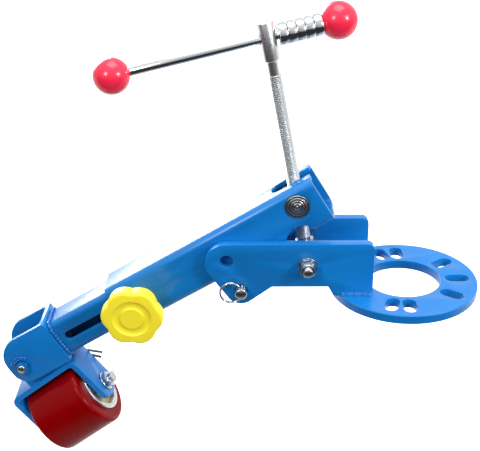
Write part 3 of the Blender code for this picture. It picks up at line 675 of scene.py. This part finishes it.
cx = reach_along("axle_cotter")[0] + 1.2
split_pin = [(cx - 0.4, -12.2, -3.4), (cx - 0.3, -9.6, -1.5), (cx, -7.2, -0.5), (cx, 7.0, -0.5)]
split_pin += [(cx, 9.0, -1.9), (cx, 11.8, -2.7), (cx, 14.4, -1.6), (cx, 15.4, 0.2), (cx, 14.4, 2.0)]
split_pin += [(cx, 11.8, 2.9), (cx, 9.0, 2.0), (cx, 7.0, 0.6), (cx, -7.2, 0.6)]
split_pin += [(cx + 0.8, -9.8, 1.7), (cx + 1.4, -11.6, 3.4)]
bent_wire("split_pin", split_pin, 0.75, roller_frame, zinc, "yoke", ("axle_cotter",))

yoke_frame = along(axle_line, yoke_pivot)
CLIP_Y = 24.0
clip = [(58.4, CLIP_Y, -59.5), (48.0, CLIP_Y, -48.4), (38.6, CLIP_Y, -38.3), (36.2, CLIP_Y, -36.0)]
clip += [(34.4, CLIP_Y, -35.6), (33.4, CLIP_Y, -37.0), (33.9, CLIP_Y, -39.2), (36.0, CLIP_Y, -41.9)]
clip += [(44.0, CLIP_Y, -52.3), (52.9, CLIP_Y, -64.0)]
# Spring steel under a film of oil is dark, and its gloss runs along the wire.
dark_wire = steel("oiled_spring_wire", "#7d8388", "#565b60", 0.28)
bent_wire("spring_clip", clip, 1.45, yoke_frame, dark_wire, "yoke", ("hairpin_clip",))

# ---------------------------------------------------------------- roller
# A cast polyurethane tyre, dark red and glossy, on a turned aluminium hub that stands a
# little proud of it, with ball bearings behind yellow-zinc dust shields.
TYRE_R, TYRE_HALF, TYRE_EDGE, TYRE_BORE = 44.3, 35.5, 4.8, 30.55
tyre = [(TYRE_BORE, -TYRE_HALF + 0.6), (TYRE_R - TYRE_EDGE - 0.5, -TYRE_HALF)]
for step in range(1, 10):
    a = radians(10 * step)
    tyre.append((TYRE_R - TYRE_EDGE + TYRE_EDGE * sin(a), -TYRE_HALF + TYRE_EDGE - TYRE_EDGE * cos(a)))
for step in range(0, 9):
    a = radians(10 * step)
    tyre.append((TYRE_R - TYRE_EDGE + TYRE_EDGE * cos(a), TYRE_HALF - TYRE_EDGE + TYRE_EDGE * sin(a)))
tyre += [(TYRE_R - TYRE_EDGE - 0.5, TYRE_HALF), (TYRE_BORE, TYRE_HALF - 0.6)]
low_tyre, high_tyre = reach_along("roller_tyre")
middle = (low_tyre + high_tyre) / 2
roller_seat = roller_frame @ Matrix.Translation((middle * MM, 0, 0))
# Cast polyurethane is deep in colour and as smooth as its mould, with a weak, sharp reflection.
maroon = enamel("maroon_cast_polyurethane", "#860003", "#780002", 0.16, 3.0, 0.03, 0.13)
tyre = turned(tyre, 128, ring=True)
drawn(tyre, roller_seat @ TO_X, "roller_tyre_body", maroon, "roller", ("roller_tyre",))

# Turned aluminium is a pale, warm grey with a silky gloss.
aluminium = steel("turned_aluminium", "#e6e7e6", "#cfd1d0", 0.26, 1.5)
HUB_PROUD, SHIELD_SEAT, WEB_SEAT = 3.4, TYRE_HALF - 3.0, TYRE_HALF - 11.0
face = TYRE_HALF + HUB_PROUD
half_hub = [(30.2, face - 1.0), (29.6, face - 0.2), (29.0, face), (25.6, face)]
half_hub += [(24.6, face - 0.5), (24.0, face - 1.6), (24.0, SHIELD_SEAT), (18.4, SHIELD_SEAT)]
half_hub += [(18.4, WEB_SEAT), (10.0, WEB_SEAT)]
hub = half_hub + [(r, -h) for r, h in reversed(half_hub)]
hub = turned(hub, 96, ring=True)
drawn(hub, roller_seat @ TO_X, "roller_hub_body", aluminium, "roller", ("roller_hub",))
eased("left_bearing", "bearing_left", bright_steel)
eased("right_bearing", "bearing_right", bright_steel)
# Yellow passivated zinc is a dull beige gold.
yellow_zinc = steel("yellow_passivated_zinc", "#cdbf92", "#a89a6c", 0.35)
SHIELD = [(9.8, -0.2), (20.0, -0.2), (23.6, 0.1), (23.6, 0.9)]
SHIELD += [(20.0, 0.7), (16.5, 1.5), (12.0, 1.3), (9.8, 0.7)]
for side, way in (("left", -1), ("right", 1)):
    shield = turned([(r, way * (TYRE_HALF - 2.9 + h)) for r, h in SHIELD], 72, ring=True)
    drawn(shield, roller_seat @ TO_X, side + "_dust_shield", yellow_zinc, "roller")

# ---------------------------------------------------------------- lead screw
# An M14 by 2 screw rolled in bright steel. Its plain neck carries a turned head, cross
# drilled for the sliding handle bar, all zinc plated.
screw_axis = Vector(joints["screw_turn"]["axis"]).normalized()
across = Vector((0, 1, 0)).cross(screw_axis).normalized()
screw_frame = seated(across, Vector((0, 1, 0)), screw_axis, Vector(joints["screw_turn"]["pos_m"]))
PITCH, CREST, ROOT, THREAD_FROM, THREAD_TO, TURN_STEPS = 2.0, 7.0, 5.85, 14.9, 199.0, 24
TURNS = int((THREAD_TO - THREAD_FROM) / PITCH)
thread = bmesh.new()
rib = [(ROOT, 0.0), (CREST, 0.8), (CREST, 1.15), (ROOT, PITCH)]
spots = [thread.verts.new((r, 0, THREAD_FROM + h)) for r, h in rib]
lines = [thread.edges.new((a, b)) for a, b in zip(spots, spots[1:])]
bmesh.ops.spin(
    thread,
    geom=spots + lines,
    cent=(0, 0, 0),
    axis=(0, 0, 1),
    dvec=(0, 0, PITCH / TURN_STEPS),
    angle=2 * pi * TURNS,
    steps=TURN_STEPS * TURNS,
)
bmesh.ops.remove_doubles(thread, verts=thread.verts, dist=0.01)
bmesh.ops.holes_fill(thread, edges=[e for e in thread.edges if e.is_boundary], sides=0)
# A rolled thread is burnished by the dies and zinc plated, so its crests flash white.
thread_steel = steel("rolled_thread_zinc", "#f8fafb", "#d2d8dc", 0.32)
drawn(thread, screw_frame, "screw_thread", thread_steel, "screw", ("lead_screw",))
journal = turned([(0, 6.6), (4.6, 6.6), (5.0, 7.0), (5.0, 15.6), (0, 15.6)], 48)
drawn(journal, screw_frame, "screw_journal", bright_steel, "screw")

HEAD_FROM, HEAD_TO, HEAD_R, NECK_R, NECK_FROM, BAR_AT, CROSS_R = 214.8, 254.5, 8.7, 6.2, 197.5, 238.0, 5.2
head = [(0, NECK_FROM), (NECK_R, NECK_FROM), (NECK_R, HEAD_FROM - 0.2), (HEAD_R - 0.9, HEAD_FROM)]
head += [(HEAD_R, HEAD_FROM + 0.9), (HEAD_R, HEAD_TO - 1.2), (HEAD_R - 0.35, HEAD_TO - 0.35)]
head += [(HEAD_R - 1.2, HEAD_TO), (0, HEAD_TO)]
bar_line = Vector(joints["bar_slide"]["axis"]).normalized()
bar_centre = Vector(joints["spacer_1_spin"]["pos_m"])
bar_frame = seated(bar_line, screw_axis.cross(bar_line), screw_axis, bar_centre)
cross_hole = turned([(0, -20), (CROSS_R, -20), (CROSS_R, 20), (0, 20)], 48)
bmesh.ops.transform(cross_hole, matrix=TO_X, verts=cross_hole.verts)
swing = (screw_frame.inverted() @ bar_frame).to_3x3().to_4x4()
bmesh.ops.transform(cross_hole, matrix=Matrix.Translation((0, 0, BAR_AT)) @ swing, verts=cross_hole.verts)
# Zinc over a turned head stays pale and even, softer than the plate on the small parts.
head_zinc = steel("zinc_on_turned_head", "#ffffff", "#eceff1", 0.28)
drawn(shaped(turned(head, 96), ("DIFFERENCE", cross_hole)), screw_frame, "screw_head", head_zinc, "screw")

# ---------------------------------------------------------------- handle bar
# A bright chromed bar that slides in the head, with a red phenolic ball pressed on each end
# and five loose chromed spacer rings strung on its short side.
# Chrome over a polished bar is the sharpest mirror on the tool.
chrome = steel("chromed_bar", "#eceeef", "#d3d6d9", 0.14)
eased("slide_bar", "handle_bar", chrome)
# Moulded phenolic is a strong, even red under a clear gloss.
red_ball = enamel("red_phenolic", "#fa3050", "#ee2444", 0.20, 4.0, 0.02)
into_bar = bar_frame.inverted()
for side, radius in (("left", 18.0), ("right", 19.0)):
    spots = [into_bar @ v.co / MM for v in nodes["ball_grip_" + side].data.vertices]
    xs = [spot.x for spot in spots]
    centre = min(xs) + radius if side == "left" else max(xs) - radius
    ball = bmesh.new()
    bmesh.ops.create_uvsphere(ball, u_segments=72, v_segments=40, radius=radius)
    bmesh.ops.transform(ball, matrix=Matrix.Translation((centre, 0, 0)) @ TO_X, verts=ball.verts)
    drawn(ball, bar_frame, side + "_ball_grip", red_ball, "bar", ("ball_grip_" + side,))

# The rings have the same plate over a turned, slightly duller ground.
spacer_chrome = steel("chromed_spacer", "#eceeef", "#cdd0d3", 0.14)
OUTER, INNER, EASE = 11.6, 5.2, 0.9
for number in range(1, 6):
    node = "lug_spacer_%d" % number
    xs = [(into_bar @ v.co).x / MM for v in nodes[node].data.vertices]
    low, high = min(xs), max(xs)
    ring = [(INNER, low + 0.4), (INNER + 0.4, low), (OUTER - EASE, low), (OUTER - 0.25, low + 0.3)]
    ring += [(OUTER, low + EASE), (OUTER, high - EASE), (OUTER - 0.25, high - 0.3), (OUTER - EASE, high)]
    ring += [(INNER + 0.4, high), (INNER, high - 0.4)]
    ring = turned(ring, 72, ring=True)
    drawn(ring, bar_frame @ TO_X, "spacer_ring_%d" % number, spacer_chrome, "spacer_%d" % number, (node,))

bpy.context.view_layer.update()
